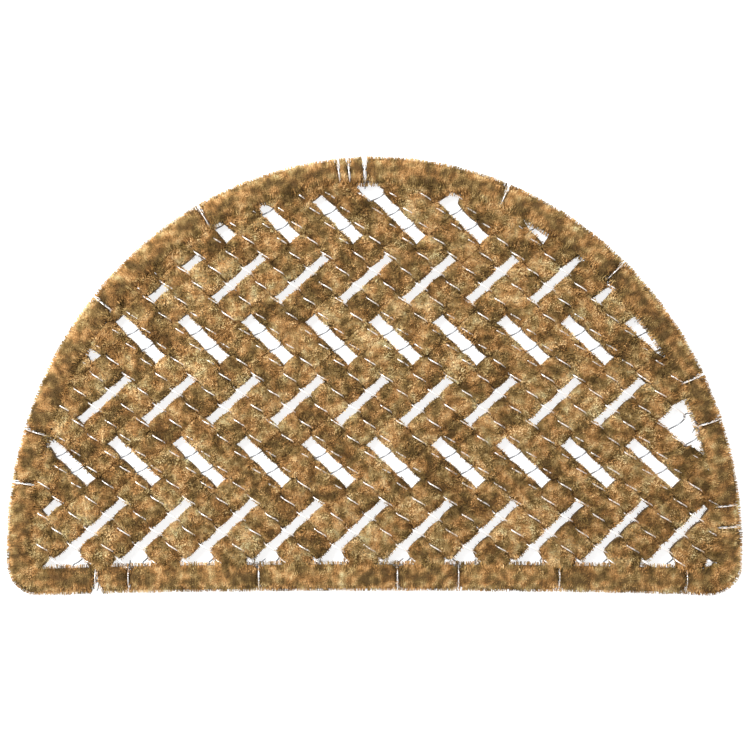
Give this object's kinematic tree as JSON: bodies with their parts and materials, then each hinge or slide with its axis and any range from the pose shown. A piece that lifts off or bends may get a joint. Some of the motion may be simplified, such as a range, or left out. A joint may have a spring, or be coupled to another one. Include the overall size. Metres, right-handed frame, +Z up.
{
  "type": "half-round coir doormat",
  "caption": "Half-round doormat: coir packed in a wire mesh in an open herringbone, with a round brush border tied to a frame rod.",
  "frame": {"origin": "centre of the mat's footprint, on the floor", "axes": "+X along the straight base, +Y towards the top of the arch, +Z up out of the pile"},
  "size_m": [0.762, 0.4549, 0.025],
  "materials": {
    "coir": "golden-brown coir fibre on end, each cell's tuft a little lighter or darker",
    "border_coir": "coir fibre of a round wound brush, side-on and lighter at its outer half",
    "galvanised_wire": "dull galvanised wire with bright bends"
  },
  "bodies": {
    "root": {"coir_field": "coir", "frame_rod": "galvanised_wire", "border_brush_01": "border_coir", "border_brush_02": "border_coir", "border_brush_03": "border_coir", "border_brush_04": "border_coir", "border_brush_05": "border_coir", "border_brush_06": "border_coir", "border_brush_07": "border_coir", "border_brush_08": "border_coir", "border_brush_09": "border_coir", "border_brush_10": "border_coir", "border_brush_11": "border_coir", "border_brush_12": "border_coir", "border_brush_13": "border_coir", "border_brush_14": "border_coir", "border_brush_15": "border_coir", "border_brush_16": "border_coir", "border_brush_17": "border_coir", "border_brush_18": "border_coir", "border_brush_19": "border_coir", "border_brush_20": "border_coir", "tie_wire_01": "galvanised_wire", "tie_wire_02": "galvanised_wire", "tie_wire_03": "galvanised_wire", "tie_wire_04": "galvanised_wire", "tie_wire_05": "galvanised_wire", "tie_wire_06": "galvanised_wire", "tie_wire_07": "galvanised_wire", "tie_wire_08": "galvanised_wire", "tie_wire_09": "galvanised_wire", "tie_wire_10": "galvanised_wire", "tie_wire_11": "galvanised_wire", "tie_wire_12": "galvanised_wire", "tie_wire_13": "galvanised_wire", "tie_wire_14": "galvanised_wire", "tie_wire_15": "galvanised_wire", "tie_wire_16": "galvanised_wire", "tie_wire_17": "galvanised_wire", "tie_wire_18": "galvanised_wire", "tie_wire_19": "galvanised_wire", "tie_wire_20": "galvanised_wire"}
  },
  "joints": []
}
